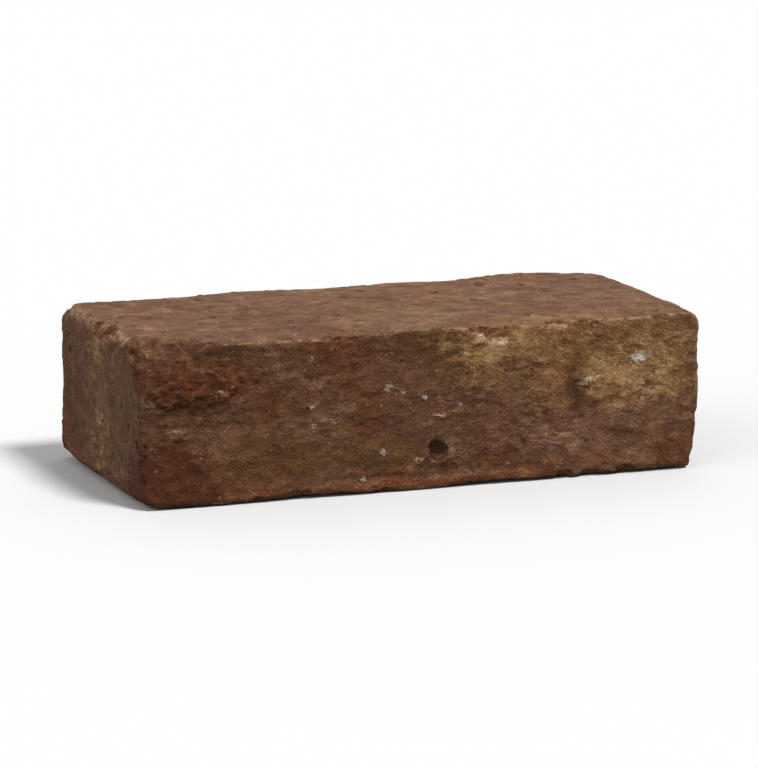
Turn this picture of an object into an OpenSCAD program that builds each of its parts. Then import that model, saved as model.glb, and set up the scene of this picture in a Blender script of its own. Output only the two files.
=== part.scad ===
// Hand-moulded facing brick: one piece of fired clay, lying on its lower bed.
// X runs along the stretcher face, +Y from that face to the back, +Z up.
// The origin is the middle of the lower bed.

/* [Format] */
// Length of the stretcher face
brick_length = 190; // [160:1:240]
// Depth of the bed, from the stretcher face to the back
brick_width = 90; // [70:1:120]
// Height from the lower bed to the upper bed
brick_height = 52; // [44:1:72]

/* [Arrises] */
// Rounding of the four long arrises
arris_radius = 2.5; // [1.5:0.5:5]
// How much that rounding varies along an arris, as a share of it
arris_uneven = 0.3; // [0:0.05:0.5]
// Rounding of the corners, seen from the front
corner_radius = 6; // [3:0.5:12]
// Rounding of the upright end arrises, seen from above
end_radius = 3.5; // [2:0.5:10]
// How far an arris wanders from a straight line
arris_wave = 0.7; // [0:0.1:1.5]
// Distance from one wave to the next along an arris
wave_pitch = 85; // [40:5:140]
// How far in from an arris its waves die out on the flat of the bed
wave_reach = 14; // [8:1:20]

/* [Stretcher face and back] */
// How far the upper arrises lean in, because the wet clay slumped
slump = 1.2; // [0:0.1:3]
// Hollow of the faces between their upper and lower arrises
face_hollow = 0.9; // [0:0.1:2]
// Dish of the two header ends
end_dish = 0.8; // [0:0.1:2]
// Width of the pinched folds in the clay
fold_width = 11; // [8:0.5:16]

/* [Long fold] */
// Long fold: depth
long_fold_depth = 1.2; // [0:0.1:2]
// Long fold: where it crosses the upper arris, from the right end
fold_top_from_end = 50; // [20:1:70]
// Long fold: where it runs out at the lower arris, from the right end
fold_foot_from_end = 40; // [20:1:70]
// Long fold: how far it winds to either side on the way
fold_winding = 2.5; // [0:0.5:5]
// Notch where the long fold nicks the upper arris: depth
notch_depth = 3.2; // [0:0.1:5]
// Notch in the upper arris: width
notch_width = 15; // [9:1:24]

/* [Short fold] */
// Short fold: depth
short_fold_depth = 0.5; // [0:0.1:2]
// Short fold: height above the lower bed
short_fold_height = 27; // [15:1:40]
// Short fold: how far it runs in from the left end
short_fold_length = 46; // [20:1:70]

/* [Torn skin] */
// How deep the skin of the upright faces is torn
tear_depth = 0.6; // [0:0.1:1.5]
// Half the distance from one torn plate to the next, along a face
tear_run = 8; // [6:0.5:14]
// Half the distance from one torn plate to the next, up a face
tear_rise = 6; // [5:0.5:10]

/* [Crust] */
// Thickness of the rough crust at the upper left of the stretcher face
crust_thickness = 0.8; // [0:0.1:1.5]
// Crust: length
crust_length = 36; // [20:1:50]
// Crust: height
crust_height = 17; // [10:1:24]
// Crust: its middle, from the left end
crust_from_end = 18; // [12:1:60]
// Crust: its middle, above the lower bed
crust_above_bed = 38; // [20:1:40]

/* [Lip] */
// Depth of the groove above the lower arris, which leaves a lip below it
lip_groove_depth = 0.7; // [0:0.1:1.5]
// Lip groove: width
lip_groove_width = 8; // [6:0.5:12]
// Lip groove: height of its middle above the lower bed
lip_groove_above_bed = 7; // [6:0.5:12]
// Lip groove: length
lip_groove_length = 104; // [40:1:120]
// Lip groove: its middle, from the left end
lip_groove_from_end = 93; // [60:1:110]

/* [Knocked corner] */
// Shallow break of the upper left corner: length lost along the upper arris
knock_along = 31; // [16:1:44]
// Shallow break: depth lost into the bed
knock_reach = 22; // [10:1:40]
// Shallow break: height lost down the left end
knock_drop = 8.5; // [4:0.5:16]
// Steep break of the same corner: length lost along the upper arris
steep_knock_along = 12; // [6:1:30]
// Steep break: depth lost into the bed
steep_knock_reach = 26; // [10:1:40]
// Steep break: height lost down the left end
steep_knock_drop = 14; // [8:1:20]

/* [Worn corner] */
// Lower right corner: length lost along the lower arris
worn_along = 4.5; // [2:0.5:10]
// Worn corner: depth lost into the bed
worn_reach = 40; // [10:1:60]
// Worn corner: height lost up the right end
worn_rise = 26; // [10:1:36]

/* [Pit] */
// Distance of the pit from the right end
pit_from_end = 92; // [30:1:110]
// Height of the pit above the lower bed
pit_height = 12.5; // [9:0.5:30]
// Width of the pit
pit_width = 9.5; // [8:0.5:16]
// Depth of the pit
pit_depth = 2.4; // [0:0.1:4]

/* [Hidden] */
clay = [0.37, 0.26, 0.18];

// Spare clay above and below, which the mould and the strike take off flat
overfill = 0.3;
// Spacing of the skin's points along the brick, up the faces and across the beds
skin_step = 2.5;
front_step = 3;
back_step = 4.5;
bed_step = 8;
// Steps round one long arris, round an end, and from the middle of a header end to its rim
arc_steps = 4;
end_steps = 5;
header_steps = 6;
// First seeds of the chance tears: stretcher face, back, left end and right end
tear_seeds = [100, 200, 300, 400];
// How sharply torn plates stand out from the hollows between them
tear_contrast = 1.6;
// How far a corner's loss is cut past the brick, as a share of its size
cut_spare = 0.2;

half_length = brick_length / 2;
half_width = brick_width / 2;
end_reach = max(corner_radius, end_radius);
mid_height = brick_height / 2;
fold_top_x = half_length - fold_top_from_end;
fold_foot_x = half_length - fold_foot_from_end;
pit_x = half_length - pit_from_end;
crust_x = crust_from_end - half_length;
lip_groove_x = lip_groove_from_end - half_length;

// Wave phases of the four long arrises, in degrees: upper front, upper back, lower back, lower front
wave_phases = [0, 130, 215, 350];
// A shorter wave on each arris, and the wave of its rounding, in waves per pitch
short_waves = 1.7;
rounding_waves = 1.4;

// Inset of a rounded edge at a distance from where the edge begins
function rounding(distance, radius) =
    distance >= radius ? 0 : radius - sqrt(radius ^ 2 - (radius - distance) ^ 2);

// 1 on a line, falling smoothly to 0 at a reach to either side
function near(distance, reach) =
    abs(distance) >= reach ? 0 : (1 + cos(180 * distance / reach)) / 2;

// 0 up to 0, 1 from 1 on, with an even curve between
function eased(share) =
    let (t = min(1, max(0, share)))
    t ^ 2 * (3 - 2 * t);

// How far an arris lies below its highest line
function wander(x, phase) =
    let (turn = 360 * x / wave_pitch)
    arris_wave * (2 - cos(turn + phase) - cos(short_waves * turn - phase)) / 2;

// Rounding of an arris at a station
function arris_rounding(x, phase) =
    let (turn = 360 * x / wave_pitch)
    arris_radius * (1 + arris_uneven * sin(rounding_waves * turn + 2 * phase));

// Stations along the length: close together round the ends, evenly spaced between them
end_stations = [for (i = [0:end_steps]) end_reach * (1 - cos(90 * i / end_steps))];
middle_count = ceil((brick_length - 2 * end_reach) / skin_step);
middle_step = (brick_length - 2 * end_reach) / middle_count;
stations = concat(
    [for (d = end_stations) d - half_length],
    [for (i = [1:middle_count - 1]) end_reach - half_length + i * middle_step],
    [for (i = [end_steps:-1:0]) half_length - end_stations[i]]
);

// Steps along each side of a section, the same at every station
front_count = ceil((brick_height - 2 * arris_radius) / front_step);
back_count = ceil((brick_height - 2 * arris_radius) / back_step);
bed_count = ceil((brick_width - 2 * arris_radius) / bed_step);
side_counts = [bed_count, back_count, bed_count, front_count];

// Outward direction at an angle in the section, from +Y towards +Z
function outward(angle) = [cos(angle), sin(angle)];

// One section as [point, outward direction] pairs in Y and Z: from the upper front arris over the top,
// down the back, under the bottom and up the front
function section(half_depth, low, high, radii) =
    let (
        centres = [
            [radii[0] - half_depth, high - radii[0]],
            [half_depth - radii[1], high - radii[1]],
            [half_depth - radii[2], low + radii[2]],
            [radii[3] - half_depth, low + radii[3]]
        ]
    )
    [for (corner = [0:3])
        let (
            next = (corner + 1) % 4,
            first = 180 - 90 * corner,
            side = outward(first - 90),
            from = centres[corner] + radii[corner] * side,
            to = centres[next] + radii[next] * side
        )
        each concat(
            [for (i = [0:arc_steps])
                let (out = outward(first - 90 * i / arc_steps))
                [centres[corner] + radii[corner] * out, out]],
            [for (i = [1:side_counts[corner] - 1])
                [from + (to - from) * i / side_counts[corner], side]]
        )];

// Share of the way from the lower arris to the upper one
function rise(z) = min(1, max(0, (z - arris_radius) / (brick_height - 2 * arris_radius)));

// Depth of the two folds at a point of the stretcher face
function folds(x, z) =
    let (
        long_x = fold_foot_x + (fold_top_x - fold_foot_x) * rise(z) + fold_winding * sin(360 * rise(z)),
        long_fold = near(x - long_x, fold_width / 2),
        short_fold = near(z - short_fold_height, fold_width / 2) * near(x + half_length, short_fold_length)
    )
    max(long_fold_depth * long_fold, short_fold_depth * short_fold);

// Depth of the pit at a point of the stretcher face
function pit(x, z) = pit_depth * near(norm([x - pit_x, z - pit_height]), pit_width / 2);

// Depth of the groove above the lip, which runs out at both ends
function lip_groove(x, z) =
    lip_groove_depth * near(z - lip_groove_above_bed, lip_groove_width / 2)
    * sqrt(near(x - lip_groove_x, lip_groove_length / 2));

// Thickness of the crust at a point of the stretcher face: full over its middle half, then sloping out
function crust(x, z) =
    let (from_middle = norm([2 * (x - crust_x) / crust_length, 2 * (z - crust_above_bed) / crust_height]))
    crust_thickness * eased(2 - 2 * from_middle);

// Lean and hollow that the stretcher face and the back share
function face_set_back(z) = slump * rise(z) + face_hollow * sin(180 * rise(z));

// Chance levels of 0 to 1 at the knots of a grid that covers a face of some length
function tear_knots(length, seed) =
    [for (i = [0:ceil(length / tear_run) + 1]) rands(0, 1, ceil(brick_height / tear_rise) + 2, seed + i)];
front_knots = tear_knots(brick_length, tear_seeds[0]);
back_knots = tear_knots(brick_length, tear_seeds[1]);
header_knots = [for (i = [2, 3]) tear_knots(brick_width, tear_seeds[i])];

// Depth of the tears at a distance along a face and a height, smooth between the knots
function torn(along, z, knots) =
    let (
        a = along / tear_run,
        b = rise(z) * (brick_height - 2 * arris_radius) / tear_rise,
        i = floor(a),
        j = floor(b),
        before = knots[i][j] + (knots[i][j + 1] - knots[i][j]) * eased(b - j),
        after = knots[i + 1][j] + (knots[i + 1][j + 1] - knots[i + 1][j]) * eased(b - j),
        level = before + (after - before) * eased(a - i)
    )
    tear_depth * eased(0.5 + tear_contrast * (level - 0.5));

// Share of the tears that is left towards the upper and lower arrises
function tear_share(z) = 1 - (1 - 2 * rise(z)) ^ 4;

// Fall of a bed below its flat, towards its front and back arrises
function bed_fall(x, y, front_phase, back_phase) =
    let (
        front = near(y + half_width - arris_radius, wave_reach),
        back = near(half_width - arris_radius - y, wave_reach)
    )
    front * (overfill + wander(x, front_phase)) + back * (overfill + wander(x, back_phase));

// How far the skin stands out from the plain rounded block, by the way it faces. The four shares add up to 1,
// and the upper front arris counts fully halfway round its rounding
function relief(x, y, z, out) =
    let (
        front = max(0, -out[0]) ^ 2,
        back = max(0, out[0]) ^ 2,
        top = max(0, out[1]) ^ 2,
        bottom = max(0, -out[1]) ^ 2,
        upper_front_arris = 4 * front * top
    )
    -front * (face_set_back(z) + folds(x, z) + pit(x, z) + lip_groove(x, z) - crust(x, z))
    - front * tear_share(z) * torn(x + half_length, z, front_knots)
    - back * (face_set_back(z) + tear_share(z) * torn(x + half_length, z, back_knots))
    - top * bed_fall(x, y, wave_phases[0], wave_phases[1])
    - bottom * bed_fall(x, y, wave_phases[3], wave_phases[2])
    - upper_front_arris * notch_depth * near(x - fold_top_x, notch_width / 2);

// The skin's points at one station
function skin_ring(x) =
    let (
        from_end = half_length - abs(x),
        half_depth = half_width - rounding(from_end, end_radius),
        inset = rounding(from_end, corner_radius) - overfill,
        radii = [for (phase = wave_phases) arris_rounding(x, phase)]
    )
    [for (s = section(half_depth, inset, brick_height - inset, radii))
        let (p = s[0] + s[1] * relief(x, s[0][0], s[0][1], s[1]))
        [x, p[0], p[1]]];

// Set-back of a header end at a point, from nothing at its rim to its dish and tears in the middle
function header_set_back(y, z, knots) =
    let (
        across = y / (half_width - end_radius),
        up = (z - mid_height) / (mid_height - corner_radius)
    )
    max(0, 1 - across ^ 2) * max(0, 1 - up ^ 2) * (end_dish + torn(y + half_width, z, knots));

// A ring of a header end's points, at a share of the way from its middle to its rim. The side is -1 at the
// left and 1 at the right
function header_ring(side, share, knots) =
    [for (rim = skin_ring(side * half_length))
        let (
            y = share * rim[1],
            z = mid_height + share * (rim[2] - mid_height)
        )
        [side * (half_length - header_set_back(y, z, knots)), y, z]];

// The clay as it comes from the mould: rings of skin, from the middle of the left end out to its rim, along
// the brick and back in to the middle of the right end
module moulded_clay() {
    header_shares = [for (i = [1:header_steps - 1]) i / header_steps];
    rings = concat(
        [for (share = header_shares) header_ring(-1, share, header_knots[0])],
        [for (x = stations) skin_ring(x)],
        [for (share = header_shares) header_ring(1, 1 - share, header_knots[1])]
    );
    around = len(rings[0]);
    last = len(rings) - 1;
    header_middles = [for (i = [0, 1])
        [(2 * i - 1) * (half_length - header_set_back(0, mid_height, header_knots[i])), 0, mid_height]];
    left_middle = len(rings) * around;
    walls = [for (i = [0:last - 1], j = [0:around - 1])
        let (
            a = i * around + j,
            b = i * around + (j + 1) % around
        )
        each [[a, b, b + around], [a, b + around, a + around]]];
    left_fan = [for (j = [0:around - 1]) [left_middle, (j + 1) % around, j]];
    right_fan = [for (j = [0:around - 1])
        [left_middle + 1, last * around + j, last * around + (j + 1) % around]];
    polyhedron(
        points = concat([for (ring = rings) each ring], header_middles),
        faces = concat(walls, left_fan, right_fan),
        convexity = 4
    );
}

// The clay lost at a corner, cut off flat. The corner is at the origin here, with the brick to its +X, +Y
// and +Z, and the run is how far the loss reaches along X, Y and Z. Moving its tip out by a spare along all
// three axes makes each side three spares longer, so that the cut stays in its plane
module corner_loss(run) {
    outer_run = (1 + 3 * cut_spare) * run;
    translate(-cut_spare * run)
        polyhedron(
            points = [[0, 0, 0], [outer_run[0], 0, 0], [0, outer_run[1], 0], [0, 0, outer_run[2]]],
            faces = [[0, 1, 2], [0, 2, 3], [0, 3, 1], [1, 3, 2]]
        );
}

// The space that the brick fills: between the struck beds, without the lost corners
module kept_space() {
    difference() {
        translate([-brick_length, -brick_width, 0])
            cube([2 * brick_length, 2 * brick_width, brick_height]);
        translate([-half_length, -half_width, brick_height])
            mirror([0, 0, 1]) {
                corner_loss([knock_along, knock_reach, knock_drop]);
                corner_loss([steep_knock_along, steep_knock_reach, steep_knock_drop]);
            }
        translate([half_length, -half_width, 0])
            mirror([1, 0, 0])
                corner_loss([worn_along, worn_reach, worn_rise]);
    }
}

module brick() {
    color(clay)
        intersection() {
            moulded_clay();
            kept_space();
        }
}

brick();
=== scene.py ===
import itertools
import math

import bmesh
import bpy
import numpy as np
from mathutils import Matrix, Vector, kdtree, noise


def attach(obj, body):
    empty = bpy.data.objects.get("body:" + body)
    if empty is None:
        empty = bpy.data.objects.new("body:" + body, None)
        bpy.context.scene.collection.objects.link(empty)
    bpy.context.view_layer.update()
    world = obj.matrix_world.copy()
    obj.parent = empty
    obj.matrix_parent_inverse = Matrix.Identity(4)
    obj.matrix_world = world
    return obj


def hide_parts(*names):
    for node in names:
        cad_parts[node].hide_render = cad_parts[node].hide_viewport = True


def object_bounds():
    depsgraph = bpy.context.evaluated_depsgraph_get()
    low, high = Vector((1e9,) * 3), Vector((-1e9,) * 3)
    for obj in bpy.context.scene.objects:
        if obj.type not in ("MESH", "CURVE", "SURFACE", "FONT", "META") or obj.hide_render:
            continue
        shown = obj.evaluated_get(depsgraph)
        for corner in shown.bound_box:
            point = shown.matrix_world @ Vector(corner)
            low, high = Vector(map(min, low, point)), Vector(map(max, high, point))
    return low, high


MM = 0.001

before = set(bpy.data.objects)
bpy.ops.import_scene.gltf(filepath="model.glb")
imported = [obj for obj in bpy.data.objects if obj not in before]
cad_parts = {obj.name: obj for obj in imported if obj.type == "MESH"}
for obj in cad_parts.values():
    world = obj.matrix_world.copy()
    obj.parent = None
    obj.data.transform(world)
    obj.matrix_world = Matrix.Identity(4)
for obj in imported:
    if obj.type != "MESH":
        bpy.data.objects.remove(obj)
cad_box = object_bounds()

LOW = np.array(cad_box[0]) / MM
HIGH = np.array(cad_box[1]) / MM
SIZE = HIGH - LOW

# Mesh: fine cells to sculpt in, then only as many triangles as the relief needs
VOXEL = 0.62
SKIN_SMOOTHING = 2
SMOOTHING_SHARE = 0.5
TRIANGLES = 190000
# Points nearer than this are the same corner of the solid
WELD = 0.001

# Chance: the seed of what is strewn, and a seed for each smooth noise of the relief
STREWN_SEED = 21
SEEDS = {
    "wander_u": 2, "wander_w": 3, "wander_v": 4, "plates": 5, "torn": 6, "crumbs": 7, "grains": 8,
    "creases": 9, "crust": 10, "fracture": 11, "strikes": 12, "flakes": 13, "ragged_u": 14, "ragged_v": 15,
    "ochre": 16, "olive": 17, "red": 18, "pink": 19, "rubbed": 20, "dark": 22, "light": 23,
    "crust_flakes": 24, "rough": 25,
}
# How far apart in the noise two seeds lie
SEED_STEP = np.array([17.3, -9.1, 5.7])

# Relief of the skin: widths of the features, and how high or deep they are
PLATE_SIZE, PLATE_HEIGHT = 7.0, 0.28
CRUST_FLAKE_SIZE, CRUST_FLAKE_HEIGHT = 3.5, 0.45
FLAKE_SIZE, FLAKE_HEIGHT = 4.0, 0.2
CRUMB_SIZE, CRUMB_HEIGHT = 4.0, 0.18
GRAIN_SIZE, GRAIN_HEIGHT = 1.9, 0.12
STRIKE_LENGTH, STRIKE_WIDTH, STRIKE_DEPTH = 28.0, 4.0, 0.14
FRACTURE_SIZE, FRACTURE_DEPTH = 3.0, 1.0
WANDER_SIZE, WANDER = 30.0, 2.5
# Levels of noise from which and to which plates and flakes rise
PLATE_RISE = (-0.04, 0.08)
CRUST_FLAKE_RISE = (-0.03, 0.06)
FLAKE_RISE = (-0.05, 0.07)
# Plates are only where the skin is torn, and a bed has half the crumbs
TORN_SIZE, TORN_RISE = 45.0, (0.0, 0.5)
BED_CRUMBS = 0.5
# The crust: how its edge wanders, how far it reaches and how high it stands
CRUST_EDGE_SIZE, CRUST_EDGE = 4.0, 0.3
CRUST_REACH = (0.42, 0.52)
CRUST_HEIGHT = 0.35
# Percent of the skin that lies below the solid's own surface
SKIN_BELOW = 85
# The clay was thrown in along its length, so features on the upright faces are longer than high:
# a little for its crumbs and flakes, and more for its torn plates and nerves
THROWN = (1.3, 1.3, 0.8)
TORN = (1.6, 1.6, 0.75)

# Parts of the skin by the way it faces, from where a part begins to where it is whole: an arris faces two
# ways at once, a bed and its flat middle face up or down, and the front faces out of the stretcher side
ARRIS_FACING = (0.3, 0.6)
BED_FACING = (0.6, 0.95)
FLAT_FACING = (0.9, 0.995)
FRONT_FACING = (0.2, 0.7)

# Creases: how wide they are above and below, how they taper to their ends, and how far they wander
CREASE_ABOVE, CREASE_BELOW = 0.8, 2.4
CREASE_TAPER = 0.5
CREASE_WANDER_SIZE, CREASE_WANDER = 9.0, 1.6
# Creases of the stretcher face: u and v of both ends, and depth
CREASES = [
    ((0, 27), (42, 25), 0.35),
    ((3, 22), (18, 21), 0.3),
    ((2, 36), (24, 35), 0.35),
    ((60, 37), (86, 31), 0.35),
    ((106, 30), (124, 24), 0.4),
    ((126, 23), (139, 19), 0.5),
    ((47, 5.5), (139, 5.5), 0.35),
    ((88, 9), (110, 7), 0.4),
    ((153, 15), (176, 12), 0.4),
    ((150, 24), (172, 25), 0.4),
    ((62, 44), (100, 45), 0.35),
    ((118, 37), (140, 36), 0.35),
]

# Pits strewn over the skin: how many to a square millimetre, and ranges of their radius and depth. The
# power makes most of them small.
PITS = {"density": 0.004, "radius": (0.5, 1.8), "depth": (0.25, 0.9), "power": 2}
# How steep the walls of a pit are beside its floor
PIT_BOWL = 4
# Pits of the stretcher face: u, v, radius and depth
FACE_PITS = [(98, 12.5, 3.3, 1.4), (135, 21.5, 1.3, 0.6), (62, 36, 0.9, 0.4), (128, 13, 0.9, 0.5),
             (150, 29, 1.0, 0.5), (33, 24, 0.9, 0.4), (176, 24, 1.1, 0.5), (108, 36, 0.8, 0.4)]
PIT_WOBBLE_SIZE, PIT_WOBBLE = 3.0, 0.3
# Among the six faces, two for each axis, the stretcher face has only its own pits
STRETCHER = 2

# Chips broken out of the arrises by chance: one in so many millimetres, and ranges of depth and radius. The
# power makes most of them shallow.
CHIP_SPACING = 27.0
CHIP_DEPTH, CHIP_POWER = (0.3, 1.7), 3
CHIP_RADIUS = (3.5, 10.0)
CHIP_TILT = 0.25
# How uneven the chips are, as a share of their depth
CHIP_WOBBLE_SIZE, CHIP_WOBBLE = 4.0, 1.0
# Chips at known places: u, w, v, the way they face, depth and radius
CHIPS = [
    ((15, 1, 49), (-0.4, -1, 1), 0.5, 7),
    ((2, 15, 46), (-1, -0.4, 1), 0.6, 7),
    ((116, 0, 49), (0, -1, 0.5), 0.9, 7),
    ((139, 0, 52), (0, -0.7, 1), 0.9, 6),
    ((187, 0, 0), (0.4, -1, -0.6), 0.8, 7),
    ((141, 0, 0), (0, -1, -0.7), 0.9, 6),
    ((164, 0, 0), (0, -1, -0.7), 1.0, 7),
]
# Breaks of the solid's upper left corner: how far they reach along u, w and down v
BREAKS = [(31, 22, 8.5), (12, 26, 14)]
BREAK_EDGE = 0.06
# Share of a break's roughness that is spared the painted shade that the rest of the relief gets
BREAK_LIGHT = 0.6

# Marks of the stretcher face: u, v, half width, half height
OCHRE_PATCHES = [(170, 37, 28, 15), (136, 43, 32, 13)]
OLIVE_PATCHES = [(46, 12, 28, 9), (78, 14, 16, 8), (147, 34, 4, 13), (104, 44, 14, 9)]
RED_PATCHES = [(18, 39, 17, 7), (0, 8, 32, 12), (80, 1.5, 60, 2.4), (206, 8, 27, 14)]
PINK_PATCHES = [(140, 16, 22, 9), (164, 20, 14, 7)]
# The dark patch at u 147 is painted shade in the valley of a fold; the others darken their parts of the face
DARK_AND_PAINTED_SHADE_PATCHES = [(24, 49, 20, 2), (16, 38, 18, 10), (0, 9, 27, 14), (147, 30, 4, 12)]
# The light patch along the lip at v 2.6 and the two beside the big pit at u 93 and 103 are painted
# highlights; the others lighten their parts of the face
LIGHT_AND_PAINTED_HIGHLIGHT_PATCHES = [(84, 2.6, 66, 2.1), (165, 34, 18, 8), (120, 43, 15, 5), (93, 12, 1.4, 2.5),
                 (103, 12, 1.2, 2.5), (167.5, 38, 3.5, 2.5)]
ROUGH_PATCHES = [(11, 23, 15, 9), (58, 46, 28, 6), (141, 17, 17, 12), (98, 9, 9, 6)]
CRUST_PATCHES = [(18, 38, 17, 7)]
LIME_SPOTS = [(167.5, 38, 3.4, 2.2), (82, 33.5, 1.6, 1.4), (87, 32, 1.3, 1.0), (94, 29.5, 1.5, 1.0),
              (106, 27, 1.5, 1.1), (56, 44.5, 1.4, 1.1), (56.5, 29, 1.3, 1.0), (57, 23, 1.2, 1.0),
              (73, 5, 1.6, 1.3), (80, 13, 1.4, 1.2), (83, 44.5, 1.3, 1.0), (149, 31, 2.4, 1.2)]
SPALL_SPOTS = [(113, 47.5, 3.4, 2.4), (119.5, 46.2, 3.8, 1.7), (139, 49.5, 6.0, 1.8),
               (99.5, 23.5, 3.0, 0.9), (26, 36, 2.4, 1.0), (152, 32, 2.6, 1.3), (11, 24.5, 2.8, 0.7),
               (92, 10, 2.2, 0.9)]
# How far behind the stretcher face its patches begin and end to give way to chance ones
PATCH_DEPTH = (4.0, 22.0)
# Patches by chance on the other faces: width, levels of noise, and the strongest
CHANCE_PATCH_SIZE, CHANCE_PATCH_RISE, CHANCE_PATCH = 45.0, (0.12, 0.6), 0.4
# How ragged the patches are, as a share of their size
RAGGED_SIZE, RAGGED = 14.0, 0.5
# Wear of the arrises: in stretches, and more along the upper ones, by their share of the height; along the
# upper ones the pale is part wear and part painted highlight
WEAR_SIZE, WEAR_RISE, WEAR = 13.0, (-0.25, 0.5), 0.6
UPPER_RISE, UPPER_WEAR_AND_HIGHLIGHT = (0.6, 0.85), 0.85

# Colours as they look on a screen, 0 to 255
BROWN = (95, 65, 45)
RED = (90, 51, 28)
OCHRE = (122, 90, 56)
OLIVE = (85, 58, 33)
PINK = (106, 75, 56)
FRESH = (98, 63, 43)
BED = (112, 82, 60)
SPALL = (168, 132, 98)
# Arrises pale with wear and, along the upper ones, with a painted highlight
WORN_AND_HIGHLIGHT = (150, 122, 97)
LIME = (156, 148, 137)
FLOOR = (204, 204, 204)
FLOOR_BOUNCE = (148, 148, 148)
# How red, green and blue answer to shade: dark clay is redder, and light clay is paler
TINT = {"Red": 1.0, "Green": 1.3, "Blue": 1.6}

# Material: each noise is a width, a seed, a detail and a roughness, and each edge a start and an end.
# A wobble is a width and a distance, heights are in millimetres, and tones change the shade.
BASE = {"noise": (26.0, 1, 4, 0.5), "edge": (0.46, 0.66)}
# Patches mix with the clay around them grain by grain
PATCH_MIX = {"noise": (2.8, 2, 5, 0.7), "gain": 2.4, "edge": (0.15, 0.7)}
SPOT_MIX = {"noise": (1.1, 7, 4, 0.6), "gain": 2.4, "edge": (0.5, 0.75)}
BREAK_MIX = {"gain": 0.6, "edge": (0.45, 0.7)}
BED_SHARE, FRESH_SHARE, SPALL_SHARE, LIME_SHARE = 0.5, 0.5, 0.75, 0.7
# Sandy skin: mottling, sand, and grains lighter or darker than the clay
BASE_SHADE = -0.06
MOTTLE = {"noise": (8.0, 3, 3, 0.55), "tone": 0.7}
SAND = {"noise": (0.8, 5, 2, 0.6), "tone": 0.8, "height": 0.25}
SAND_GRAINS = {
    "size": 1.1, "wobble": (0.7, 0.4), "edge": (0.5, 0.22), "tones": (-0.37, 0.43), "height": 0.14,
}
# Where the skin is rougher, and how rough it is elsewhere. Olive parts are smoother.
ROUGHER = {"noise": (13.0, 8, 3, 0.5), "edge": (0.4, 0.62), "least": 0.25, "olive": -0.1}
LONG_FLAKES = {
    "size": 1.9, "stretch": (2.0, 2.0, 0.75), "wobble": (2.5, 1.6), "height": 0.15, "tone": 0.4,
}
# Nerves of the skin, which are fine ledges: noise, height, and the tone of their painted light and shade
NERVES = [
    {"noise": (4.6, 31, 5, 0.6), "height": 0.25, "tone": 0.26},
    {"noise": (2.4, 32, 5, 0.6), "height": 0.18, "tone": 0.14},
]
# A nerve's ledge rises between two levels of noise, with a line of some width at each
NERVE_FOOT, NERVE_TOP, NERVE_LINE = 0.47, 0.53, 0.03
# Shares of a nerve's tone for the ledge, painted lighter on its high side and darker on its low side, for
# the painted highlight along its upper line and for the painted shade at its foot
NERVE_LEDGE_PAINTED_SHADING, NERVE_PAINTED_HIGHLIGHT, NERVE_PAINTED_SHADE = 0.4, 0.6, -0.8
NERVE_WOBBLE = (16, 8)
# How the flakes and nerves run down towards the right end, in metres to the square metre
SAG = 1.8
# Pores, painted darker as shade in their hollows, and bright grains, which lie some millimetres apart
PORES = {
    "size": 3.2, "wobble": (0.9, 0.7), "edge": (0.2, 0.12), "chance": (0.66, 0.73),
    "height": -0.4, "tone": -0.5,
}
BRIGHT_GRAINS = {"edge": (0.17, 0.1), "chance": (0.8, 0.86), "share": 0.35}
# Painted shade in low relief and painted light on high relief, and the tones of the dark patches, with
# painted shade in a fold, and of the light patches, with painted highlights on the lip and the big pit's
# rims
RELIEF_RANGE, RELIEF_PAINTED_SHADING = (-0.6, 0.5), (-0.5, 0.25)
DARK_AND_PAINTED_SHADE_TONE, LIGHT_AND_PAINTED_HIGHLIGHT_TONE = -0.45, 0.27
# The pale of the arrises, broken up by noise: wear, and along the upper arrises also a painted highlight
RUBBED_AND_HIGHLIGHT = {"noise": (2.2, 6, 4, 0.6), "edge": (0.4, 0.6), "share": 0.75}
CLAY_ROUGHNESS, CLAY_SPECULAR = 0.92, 0.2

# Camera
VIEW_AZIMUTH, VIEW_ELEVATION = -20.7, 11.0
VIEW_DISTANCE = 1500.0
VIEW_WIDTH = 246.0
VIEW_END = 100000.0

# Studio: the floor's half width, and the light of the sky
FLOOR_REACH = 12000.0
SKY_LIGHT = 0.4
# Lamps: azimuth, elevation, softness and power
LAMP_DISTANCE = 2000.0
LAMPS = {
    "key": (30, 58, 16, 3.6),
    "fill": (-70, 25, 60, 1.1),
    "back": (165, 35, 60, 0.7),
}

rng = np.random.default_rng(STREWN_SEED)


def smooth_step(edge, value):
    """0 below an edge's start, 1 above its end, with an even curve between."""
    start, end = edge
    share = np.clip((value - start) / (end - start), 0, 1)
    return share * share * (3 - 2 * share)


def ripple(spot, octaves):
    """Smooth noise of about -1 to 1 at a spot, each octave half as wide and half as high as the last."""
    return noise.fractal(Vector(spot), 1.0, 2.0, octaves)


def field(points, size, seed, octaves, stretch=(1, 1, 1)):
    """Smooth noise of about -1 to 1 at each point, with features about size wide, for a named seed."""
    spots = points / (size * np.array(stretch)) + SEED_STEP * SEEDS[seed]
    return np.array([ripple(spot, octaves) for spot in spots])


def applied(obj):
    """Makes an object's modifiers part of its mesh."""
    graph = bpy.context.evaluated_depsgraph_get()
    obj.data = bpy.data.meshes.new_from_object(obj.evaluated_get(graph))
    obj.modifiers.clear()


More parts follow.
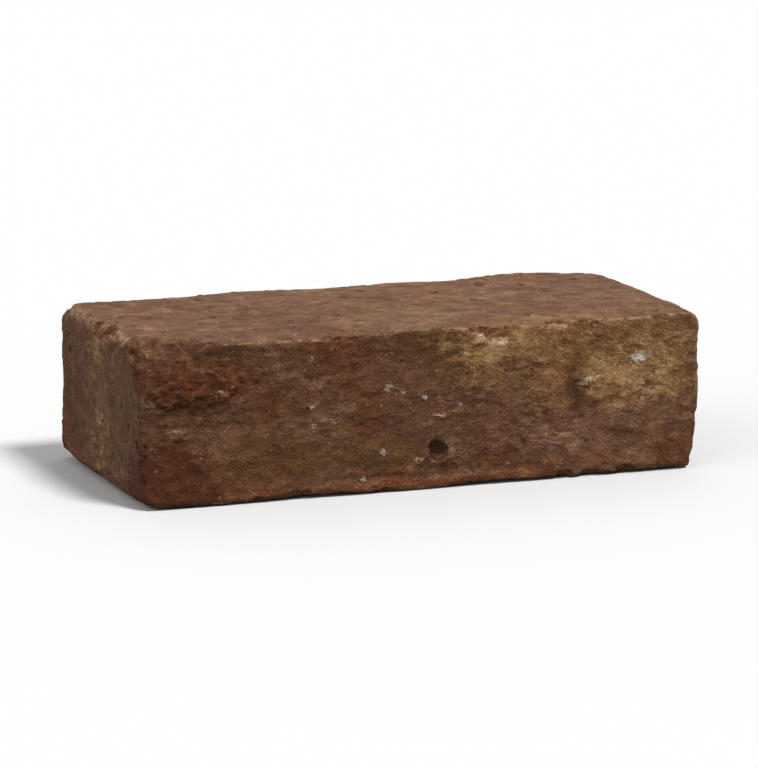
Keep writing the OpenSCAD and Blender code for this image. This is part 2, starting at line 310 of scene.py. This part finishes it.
def even_skin(node):
    """A new object with a fine, even mesh of a CAD node's shape."""
    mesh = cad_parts[node].data.copy()
    welded = bmesh.new()
    welded.from_mesh(mesh)
    bmesh.ops.remove_doubles(welded, verts=welded.verts, dist=WELD * MM)
    welded.to_mesh(mesh)
    welded.free()
    obj = bpy.data.objects.new("fired_clay_brick", mesh)
    bpy.context.scene.collection.objects.link(obj)
    remesh = obj.modifiers.new("even", "REMESH")
    remesh.mode = "VOXEL"
    remesh.voxel_size = VOXEL * MM
    smooth = obj.modifiers.new("soft", "SMOOTH")
    smooth.factor = SMOOTHING_SHARE
    smooth.iterations = SKIN_SMOOTHING
    applied(obj)
    obj.data.materials.clear()
    return obj


def read(mesh):
    """The points and outward directions of a mesh, as rows of numbers."""
    points = np.empty(len(mesh.vertices) * 3)
    mesh.vertices.foreach_get("co", points)
    normals = np.empty(len(mesh.vertices) * 3)
    mesh.vertex_normals.foreach_get("vector", normals)
    return points.reshape(-1, 3) / MM, normals.reshape(-1, 3)


def write(mesh, points):
    mesh.vertices.foreach_set("co", (points * MM).ravel())
    mesh.update()


def keep(mesh, name, values):
    """Stores one number for each vertex under a name that the material reads."""
    layer = mesh.attributes.new(name, "FLOAT", "POINT")
    layer.data.foreach_set("value", np.asarray(values, dtype=np.float32))


def search_tree(points):
    tree = kdtree.KDTree(len(points))
    for i, p in enumerate(points):
        tree.insert(Vector(p), i)
    tree.balance()
    return tree


def chance_chips():
    """Place, outward direction, depth and radius of chips strewn along the twelve arrises."""
    for axis in range(3):
        across = [i for i in range(3) if i != axis]
        for sides in itertools.product((-1, 1), repeat=2):
            outward = np.zeros(3)
            outward[across] = sides
            for _ in range(round(SIZE[axis] / CHIP_SPACING)):
                place = np.where(outward > 0, HIGH, LOW)
                place[axis] = rng.uniform(LOW[axis], HIGH[axis])
                share = rng.random() ** CHIP_POWER
                depth = CHIP_DEPTH[0] + share * (CHIP_DEPTH[1] - CHIP_DEPTH[0])
                radius = rng.uniform(*CHIP_RADIUS)
                yield place, outward + rng.normal(0, CHIP_TILT, 3), depth, radius


def chip(points, tree):
    """Breaks the chips out of the skin, and tells which points lie in one."""
    broken = np.zeros(len(points))
    known = [(LOW + np.array(at), np.array(out), depth, radius) for at, out, depth, radius in CHIPS]
    for place, outward, depth, radius in [*known, *chance_chips()]:
        outward = outward / np.linalg.norm(outward)
        middle = np.array(tree.find(Vector(place))[0]) + outward * (radius - depth)
        for _, i, _ in tree.find_range(Vector(middle), radius + depth):
            offset = points[i] - middle
            distance = np.linalg.norm(offset)
            reach = radius + depth * CHIP_WOBBLE * ripple(points[i] / CHIP_WOBBLE_SIZE, 2)
            if distance < reach:
                points[i] = middle + offset * reach / distance
                broken[i] = 1
    return broken


def chance_pits():
    """Place, radius and depth of pits strewn over the other five faces, most of them small."""
    areas = np.repeat([SIZE[1] * SIZE[2], SIZE[0] * SIZE[2], SIZE[0] * SIZE[1]], 2)
    areas[STRETCHER] = 0
    count = int(PITS["density"] * areas.sum())
    for side in rng.choice(6, size=count, p=areas / areas.sum()):
        place = LOW + rng.random(3) * SIZE
        place[side // 2] = (LOW, HIGH)[side % 2][side // 2]
        share = rng.random() ** PITS["power"]
        small, large = PITS["radius"]
        shallow, deep = PITS["depth"]
        yield place, small + share * (large - small), shallow + share * (deep - shallow)


def pitted(points, tree):
    """Depth of the pits at each point."""
    depths = np.zeros(len(points))
    known = [(LOW + np.array((u, 0, v)), radius, depth) for u, v, radius, depth in FACE_PITS]
    for place, radius, depth in [*known, *chance_pits()]:
        for _, i, distance in tree.find_range(tree.find(Vector(place))[0], radius):
            wobble = 1 + PIT_WOBBLE * noise.noise(Vector(points[i]) / PIT_WOBBLE_SIZE)
            depths[i] = max(depths[i], depth * (1 - (wobble * distance / radius) ** PIT_BOWL))
    return depths


def creased(points):
    """Depth of the creases at each point: a steep edge above the line, and a gentle slope below it."""
    wander = CREASE_WANDER * field(points, CREASE_WANDER_SIZE, "creases", 3)
    places = np.stack([points[:, 0] - LOW[0], points[:, 2] - LOW[2] + wander], axis=1)
    depths = np.zeros(len(points))
    for start, end, depth in CREASES:
        run = np.subtract(end, start)
        along = (places - start) @ run / (run @ run)
        taper = np.sin(np.pi * np.clip(along, 0, 1)) ** CREASE_TAPER
        above = (places - start) @ np.array([-run[1], run[0]]) / np.linalg.norm(run)
        slope = np.where(above > 0, 1 - above / CREASE_ABOVE, 1 + above / CREASE_BELOW)
        depths = np.maximum(depths, depth * taper * np.clip(slope, 0, 1))
    return depths


def in_breaks(points):
    """Which points lie on the breaks of the upper left corner."""
    from_end = points[:, 0] - LOW[0]
    from_face = points[:, 1] - LOW[1]
    from_top = HIGH[2] - points[:, 2]
    broken = np.zeros(len(points), dtype=bool)
    for along, reach, drop in BREAKS:
        lost = 1 - from_end / along - from_face / reach - from_top / drop
        broken |= lost > -BREAK_EDGE
    return broken


def patches(u, v, spots, ragged=0):
    """How far each point lies in any of some soft oval patches, 0 to 1. Two shifts may make them ragged."""
    cover = np.zeros(len(u))
    for at_u, at_v, half_u, half_v in spots:
        places = np.stack([(u - at_u) / half_u, (v - at_v) / half_v], axis=1) + ragged
        cover = np.maximum(cover, np.exp(-(places**2).sum(axis=1)))
    return cover


def sculpt(obj):
    """Gives the even skin its chips and clay relief, and keeps what the colours need."""
    mesh = obj.data
    points, _ = read(mesh)
    tree = search_tree(points)
    broken = chip(points, tree)
    write(mesh, points)
    points, normals = read(mesh)

    # An arris faces two ways at once
    arris = smooth_step(ARRIS_FACING, np.sort(np.abs(normals), axis=1)[:, 1])
    bed = smooth_step(BED_FACING, np.abs(normals[:, 2]))
    flat = smooth_step(FLAT_FACING, np.abs(normals[:, 2]))
    facing = smooth_step(FRONT_FACING, -normals[:, 1])
    face_u = points[:, 0] - LOW[0]
    face_v = points[:, 2] - LOW[2]
    at_front = 1 - smooth_step(PATCH_DEPTH, points[:, 1] - LOW[1])

    wander = [field(points, WANDER_SIZE, seed, 2) for seed in ("wander_u", "wander_w", "wander_v")]
    warped = points + WANDER * np.stack(wander, axis=1)

    torn = smooth_step(TORN_RISE, field(points, TORN_SIZE, "torn", 2)) * (1 - bed)
    plates = torn * smooth_step(PLATE_RISE, field(warped, PLATE_SIZE, "plates", 3, TORN))
    crust_edge = CRUST_EDGE * field(points, CRUST_EDGE_SIZE, "crust", 3)
    crust = facing * smooth_step(CRUST_REACH, patches(face_u, face_v, CRUST_PATCHES) + crust_edge)
    crust_flakes = field(points, CRUST_FLAKE_SIZE, "crust_flakes", 3, THROWN)
    crust_flakes = crust * smooth_step(CRUST_FLAKE_RISE, crust_flakes)
    flakes = smooth_step(FLAKE_RISE, field(points, FLAKE_SIZE, "flakes", 3, THROWN))
    crumbs = np.abs(field(warped, CRUMB_SIZE, "crumbs", 2, THROWN)) * (1 - BED_CRUMBS * bed)
    grains = np.abs(field(points, GRAIN_SIZE, "grains", 2, THROWN))
    strikes = flat * field(points, STRIKE_WIDTH, "strikes", 2, (STRIKE_LENGTH / STRIKE_WIDTH, 1, 1))
    broken = np.maximum(broken, in_breaks(points))
    fracture = FRACTURE_DEPTH * broken * np.abs(field(points, FRACTURE_SIZE, "fracture", 3))

    fine = CRUMB_HEIGHT * crumbs + GRAIN_HEIGHT * grains + PLATE_HEIGHT * plates + FLAKE_HEIGHT * flakes
    fine += STRIKE_DEPTH * strikes + CRUST_FLAKE_HEIGHT * crust_flakes
    fine -= pitted(points, tree) + facing * creased(points) + fracture
    fine -= fine.mean()
    height = fine + CRUST_HEIGHT * crust
    height -= np.percentile(height, SKIN_BELOW)
    points = np.clip(points + normals * height[:, None], LOW, HIGH)
    write(mesh, points)

    # Zones: those seen on the stretcher face, and chance ones behind it
    shifts = [field(points, RAGGED_SIZE, seed, 3) for seed in ("ragged_u", "ragged_v")]
    ragged = RAGGED * np.stack(shifts, axis=1)
    zones = {
        "ochre": OCHRE_PATCHES,
        "olive": OLIVE_PATCHES,
        "red": RED_PATCHES,
        "pink": PINK_PATCHES,
        "dark": DARK_AND_PAINTED_SHADE_PATCHES,
        "light": LIGHT_AND_PAINTED_HIGHLIGHT_PATCHES,
        "rough": ROUGH_PATCHES,
    }
    for name, spots in zones.items():
        chance = smooth_step(CHANCE_PATCH_RISE, field(points, CHANCE_PATCH_SIZE, name, 3))
        seen = at_front * patches(face_u, face_v, spots, ragged)
        keep(mesh, name, seen + (1 - at_front) * CHANCE_PATCH * chance)
    keep(mesh, "lime", facing * patches(face_u, face_v, LIME_SPOTS))
    keep(mesh, "spall", facing * patches(face_u, face_v, SPALL_SPOTS))
    keep(mesh, "bed", bed)
    # The relief that the material paints as shade in its hollows and as light on its high ground
    keep(mesh, "relief", fine + BREAK_LIGHT * fracture)
    keep(mesh, "fresh", broken)
    keep(mesh, "crust", crust)
    # Pale arrises: wear in stretches, and along the upper arrises wear with a painted highlight
    stretches = WEAR * smooth_step(WEAR_RISE, field(points, WEAR_SIZE, "rubbed", 3))
    upper = UPPER_WEAR_AND_HIGHLIGHT * smooth_step(UPPER_RISE, face_v / SIZE[2])
    keep(mesh, "worn_and_highlight", arris * (1 - broken) * np.maximum(stretches, upper))


def lighten(obj):
    """Spends the triangles where the relief is, and drops the rest."""
    obj.data.calc_loop_triangles()
    fewer = obj.modifiers.new("fewer", "DECIMATE")
    fewer.ratio = min(1, TRIANGLES / len(obj.data.loop_triangles))
    applied(obj)
    write(obj.data, np.clip(read(obj.data)[0], LOW, HIGH))
    for face in obj.data.polygons:
        face.use_smooth = True


def linear(colour):
    """A screen colour of 0 to 255 as the linear colour that shaders take."""
    share = np.array(colour) / 255
    low = share / 12.92
    high = ((share + 0.055) / 1.055) ** 2.4
    return (*np.where(share <= 0.04045, low, high), 1.0)


class Shader:
    """The node tree of a material or the world, built one step at a time."""

    def __init__(self, owner):
        owner.use_nodes = True
        self.tree = owner.node_tree
        self.tree.nodes.clear()
        self.place = self.node("ShaderNodeTexCoord").outputs["Object"]

    def stretched(self, place, stretch):
        """A place, with what is drawn there stretched along X, Y and Z."""
        inputs = {0: place, 1: [1 / s for s in stretch]}
        return self.node("ShaderNodeVectorMath", inputs, operation="MULTIPLY").outputs["Vector"]

    def sagging(self, place):
        """A place, with what is drawn there running down towards the right end."""
        axes = self.node("ShaderNodeSeparateXYZ", {"Vector": place}).outputs
        to_right = self.math("MAXIMUM", axes["X"], 0.0)
        rise = self.plus(self.times(to_right, to_right), SAG, axes["Z"])
        inputs = {"X": axes["X"], "Y": axes["Y"], "Z": rise}
        return self.node("ShaderNodeCombineXYZ", inputs).outputs["Vector"]

    def seen(self):
        """1 for rays that show a surface to the camera, straight or by gloss or glass, and 0 for light."""
        rays = self.node("ShaderNodeLightPath").outputs
        by_gloss_or_glass = self.math("MAXIMUM", rays["Is Glossy Ray"], rays["Is Transmission Ray"])
        return self.math("MAXIMUM", rays["Is Camera Ray"], by_gloss_or_glass)

    def node(self, kind, inputs=None, **settings):
        """Adds a node. Each input is another node's output, which is linked, or a plain value."""
        node = self.tree.nodes.new(kind)
        for name, value in settings.items():
            setattr(node, name, value)
        for name, value in (inputs or {}).items():
            if isinstance(value, bpy.types.NodeSocket):
                self.tree.links.new(value, node.inputs[name])
            else:
                node.inputs[name].default_value = value
        return node

    def noise(self, size, seed, detail, roughness, place=None):
        """Noise of 0 to 1 with features about size millimetres wide."""
        inputs = {"Vector": place or self.place, "W": float(seed), "Scale": 1 / (size * MM)}
        inputs |= {"Detail": detail, "Roughness": roughness}
        return self.node("ShaderNodeTexNoise", inputs, noise_dimensions="4D").outputs["Fac"]

    def wobbly(self, size, amount):
        """The place, shifted by noise, so that what is drawn there has an uneven outline."""
        inputs = {"Vector": self.place, "Scale": 1 / (size * MM)}
        shift = self.node("ShaderNodeTexNoise", inputs).outputs["Color"]
        inputs = {0: shift, 1: [amount * MM] * 3, 2: self.place}
        return self.node("ShaderNodeVectorMath", inputs, operation="MULTIPLY_ADD").outputs["Vector"]

    def grains(self, size, place):
        """Cells about size millimetres wide: the distance from a cell's middle, and its chance numbers."""
        cells = self.node("ShaderNodeTexVoronoi", {"Vector": place, "Scale": 1 / (size * MM)})
        chances = self.node("ShaderNodeSeparateColor", {"Color": cells.outputs["Color"]}).outputs
        return cells.outputs["Distance"], chances

    def attribute(self, name):
        return self.node("ShaderNodeAttribute", attribute_name=name).outputs["Fac"]

    def remap(self, value, low, high, to_low=0.0, to_high=1.0):
        inputs = {"Value": value, "From Min": low, "From Max": high, "To Min": to_low, "To Max": to_high}
        return self.node("ShaderNodeMapRange", inputs, interpolation_type="SMOOTHSTEP").outputs["Result"]

    def math(self, operation, *values):
        return self.node("ShaderNodeMath", dict(enumerate(values)), operation=operation).outputs[0]

    def times(self, a, b):
        return self.math("MULTIPLY", a, b)

    def plus(self, value, gain, before):
        """Adds a value times a gain to what came before."""
        return self.math("MULTIPLY_ADD", value, gain, before)

    def centred(self, value):
        """A value of 0 to 1 as one of -0.5 to 0.5."""
        return self.math("SUBTRACT", value, 0.5)

    def line(self, value, level, width):
        """1 where a value is at a level, falling to 0 some width from it."""
        return self.remap(self.math("ABSOLUTE", self.math("SUBTRACT", value, level)), width, 0.0)

    def mix(self, factor, a, b, blend="MIX"):
        """Mixes two colours, given as outputs or as linear colours."""
        inputs = {0: factor, 6: a, 7: b}
        return self.node("ShaderNodeMix", inputs, data_type="RGBA", blend_type=blend).outputs[2]


def clay_patches(s, thrown):
    """Colour of the clay before its shade, the shares of each patch, and where the clay is broken."""
    ragged = s.centred(s.noise(*PATCH_MIX["noise"], thrown))
    colour = s.mix(s.remap(s.noise(*BASE["noise"]), *BASE["edge"]), linear(BROWN), linear(RED))
    shares = {}
    for name in ("olive", "pink", "red", "ochre", "dark", "light"):
        cover = s.plus(ragged, PATCH_MIX["gain"], s.attribute(name))
        shares[name] = s.remap(cover, *PATCH_MIX["edge"])
    for name, tone in (("olive", OLIVE), ("pink", PINK), ("red", RED), ("ochre", OCHRE)):
        colour = s.mix(shares[name], colour, linear(tone))
    colour = s.mix(s.times(s.attribute("bed"), BED_SHARE), colour, linear(BED))
    broken = s.plus(ragged, BREAK_MIX["gain"], s.attribute("fresh"))
    broken = s.remap(broken, *BREAK_MIX["edge"])
    colour = s.mix(s.times(broken, FRESH_SHARE), colour, linear(FRESH))
    uneven = s.centred(s.noise(*SPOT_MIX["noise"], thrown))
    for name, tone, share in (("spall", SPALL, SPALL_SHARE), ("lime", LIME, LIME_SHARE)):
        cover = s.remap(s.plus(uneven, SPOT_MIX["gain"], s.attribute(name)), *SPOT_MIX["edge"])
        colour = s.mix(s.times(cover, share), colour, linear(tone))
    return colour, shares, broken


def sandy_skin(s):
    """Shade and height of the mottling, the sand and its grains."""
    mottle = s.noise(*MOTTLE["noise"])
    sand = s.noise(*SAND["noise"])
    from_middle, chances = s.grains(SAND_GRAINS["size"], s.wobbly(*SAND_GRAINS["wobble"]))
    grain = s.remap(from_middle, *SAND_GRAINS["edge"])
    darkest, lightest = SAND_GRAINS["tones"]
    shade = s.plus(s.centred(mottle), MOTTLE["tone"], BASE_SHADE)
    shade = s.plus(s.centred(sand), SAND["tone"], shade)
    shade = s.plus(grain, s.plus(chances["Red"], lightest - darkest, darkest), shade)
    height = s.plus(sand, SAND["height"], s.times(grain, SAND_GRAINS["height"]))
    return shade, height


def flakes_and_nerves(s, rough, shade, height):
    """Adds long flakes, each lighter or darker than the next, and nerves: ledges with painted light and
    shade, a painted highlight along the top and painted shade at the foot.
    """
    place = s.stretched(s.sagging(s.wobbly(*LONG_FLAKES["wobble"])), LONG_FLAKES["stretch"])
    _, chances = s.grains(LONG_FLAKES["size"], place)
    flake = s.times(s.centred(chances["Red"]), rough)
    height = s.plus(flake, LONG_FLAKES["height"], height)
    shade = s.plus(flake, LONG_FLAKES["tone"], shade)
    torn = s.stretched(s.sagging(s.wobbly(*NERVE_WOBBLE)), TORN)
    for nerve in NERVES:
        level = s.noise(*nerve["noise"], torn)
        ledge = s.times(s.remap(level, NERVE_FOOT, NERVE_TOP), rough)
        bright = s.times(s.line(level, NERVE_TOP, NERVE_LINE), rough)
        dark = s.times(s.line(level, NERVE_FOOT, NERVE_LINE), rough)
        height = s.plus(ledge, nerve["height"], height)
        # Painted light and shade: the ledge lighter on its high side, a highlight along its upper line and
        # shade at its foot
        shade = s.plus(s.centred(ledge), NERVE_LEDGE_PAINTED_SHADING * nerve["tone"], shade)
        shade = s.plus(bright, NERVE_PAINTED_HIGHLIGHT * nerve["tone"], shade)
        shade = s.plus(dark, NERVE_PAINTED_SHADE * nerve["tone"], shade)
    return shade, height


def fired_clay():
    """Matt, sandy fired clay: patches of colour, mottling, nerves, grains, pores and arrises pale with wear,
    with painted light and shade on the relief, nerves, pores, lip and upper arrises.
    """
    material = bpy.data.materials.new("fired_clay")
    s = Shader(material)
    colour, shares, broken = clay_patches(s, s.stretched(s.place, THROWN))
    shade, height = sandy_skin(s)

    rough = s.plus(shares["olive"], ROUGHER["olive"], s.noise(*ROUGHER["noise"]))
    rough = s.remap(rough, *ROUGHER["edge"], ROUGHER["least"], 1.0)
    for rougher in (s.attribute("rough"), s.attribute("crust"), broken):
        rough = s.math("MAXIMUM", rough, rougher)
    shade, height = flakes_and_nerves(s, rough, shade, height)

    from_middle, chances = s.grains(PORES["size"], s.wobbly(*PORES["wobble"]))
    pore = s.remap(from_middle, *PORES["edge"])
    pore = s.times(pore, s.remap(chances["Green"], *PORES["chance"]))
    height = s.plus(pore, PORES["height"], height)
    # Painted shade in the pores
    shade = s.plus(pore, PORES["tone"], shade)

    # Painted shade in the hollows of the relief and painted light on its high ground
    shade = s.math("ADD", shade, s.remap(s.attribute("relief"), *RELIEF_RANGE, *RELIEF_PAINTED_SHADING))
    # Dark patches, with painted shade in a fold's valley
    shade = s.plus(shares["dark"], DARK_AND_PAINTED_SHADE_TONE, shade)
    # Light patches, with painted highlights on the lip and the big pit's rims
    shade = s.plus(shares["light"], LIGHT_AND_PAINTED_HIGHLIGHT_TONE, shade)
    tint = {name: s.math("EXPONENT", s.times(shade, power)) for name, power in TINT.items()}
    tint = s.node("ShaderNodeCombineColor", tint).outputs["Color"]
    colour = s.mix(1.0, colour, tint, "MULTIPLY")

    # Bright grains, and arrises pale with wear, the upper ones also with a painted highlight
    bright = s.remap(from_middle, *BRIGHT_GRAINS["edge"])
    bright = s.times(bright, s.remap(chances["Blue"], *BRIGHT_GRAINS["chance"]))
    colour = s.mix(s.times(bright, BRIGHT_GRAINS["share"]), colour, linear(SPALL))
    rubbed = s.remap(s.noise(*RUBBED_AND_HIGHLIGHT["noise"]), *RUBBED_AND_HIGHLIGHT["edge"])
    worn_and_highlight = s.times(s.times(s.attribute("worn_and_highlight"), rubbed), RUBBED_AND_HIGHLIGHT["share"])
    colour = s.mix(worn_and_highlight, colour, linear(WORN_AND_HIGHLIGHT))

    bumps = s.node("ShaderNodeBump", {"Height": height, "Strength": 1.0, "Distance": MM})
    shader = s.node("ShaderNodeBsdfPrincipled", {"Base Color": colour, "Normal": bumps.outputs["Normal"]})
    shader.inputs["Roughness"].default_value = CLAY_ROUGHNESS
    shader.inputs["Specular IOR Level"].default_value = CLAY_SPECULAR
    s.node("ShaderNodeOutputMaterial", {"Surface": shader.outputs["BSDF"]})
    return material


def pale_floor():
    """A pale floor that the camera sees brighter than the light it throws back on the brick."""
    material = bpy.data.materials.new("pale_floor")
    s = Shader(material)
    colour = s.mix(s.seen(), linear(FLOOR_BOUNCE), linear(FLOOR))
    shader = s.node("ShaderNodeBsdfDiffuse", {"Color": colour})
    s.node("ShaderNodeOutputMaterial", {"Surface": shader.outputs["BSDF"]})
    return material


def add_floor():
    reach = FLOOR_REACH * MM
    corners = [(-reach, -reach, 0), (reach, -reach, 0), (reach, reach, 0), (-reach, reach, 0)]
    mesh = bpy.data.meshes.new("floor")
    mesh.from_pydata(corners, [], [(0, 1, 2, 3)])
    mesh.materials.append(pale_floor())
    floor = bpy.data.objects.new("floor", mesh)
    bpy.context.scene.collection.objects.link(floor)


def aim(obj, azimuth, elevation, distance):
    """Puts an object at a distance in millimetres from the brick's middle, and points it there."""
    a = math.radians(azimuth)
    e = math.radians(elevation)
    offset = Vector((math.sin(a) * math.cos(e), -math.cos(a) * math.cos(e), math.sin(e)))
    obj.location = (Vector((0, 0, SIZE[2] / 2)) + distance * offset) * MM
    obj.rotation_euler = (-offset).to_track_quat("-Z", "Y").to_euler()


def add_lamp(name, azimuth, elevation, softness, power):
    """A broad, even lamp far away: softness is its width in degrees, as the brick sees it."""
    lamp = bpy.data.lights.new(name, "SUN")
    lamp.angle = math.radians(softness)
    lamp.energy = power
    obj = bpy.data.objects.new(name, lamp)
    bpy.context.scene.collection.objects.link(obj)
    aim(obj, azimuth, elevation, LAMP_DISTANCE)


def add_world():
    """Even studio light that the camera sees as white."""
    world = bpy.data.worlds.new("studio")
    s = Shader(world)
    sky = s.node("ShaderNodeBackground", {"Color": (1, 1, 1, 1)})
    strength = s.remap(s.seen(), 0.0, 1.0, SKY_LIGHT, 1.0)
    s.tree.links.new(strength, sky.inputs["Strength"])
    s.node("ShaderNodeOutputWorld", {"Surface": sky.outputs["Background"]})
    bpy.context.scene.world = world


def add_camera():
    lens = bpy.data.cameras.new("camera")
    lens.sensor_fit = "HORIZONTAL"
    lens.lens = lens.sensor_width * VIEW_DISTANCE / VIEW_WIDTH
    lens.clip_end = VIEW_END * MM
    camera = bpy.data.objects.new("camera", lens)
    bpy.context.scene.collection.objects.link(camera)
    aim(camera, VIEW_AZIMUTH, VIEW_ELEVATION, VIEW_DISTANCE)
    bpy.context.scene.camera = camera


add_camera()
add_floor()
add_world()
for lamp_name, lamp_settings in LAMPS.items():
    add_lamp(lamp_name, *lamp_settings)
bpy.context.scene.view_settings.view_transform = "Standard"

brick = even_skin("brick")
sculpt(brick)
lighten(brick)
brick.data.materials.append(fired_clay())
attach(brick, "root")
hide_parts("brick")
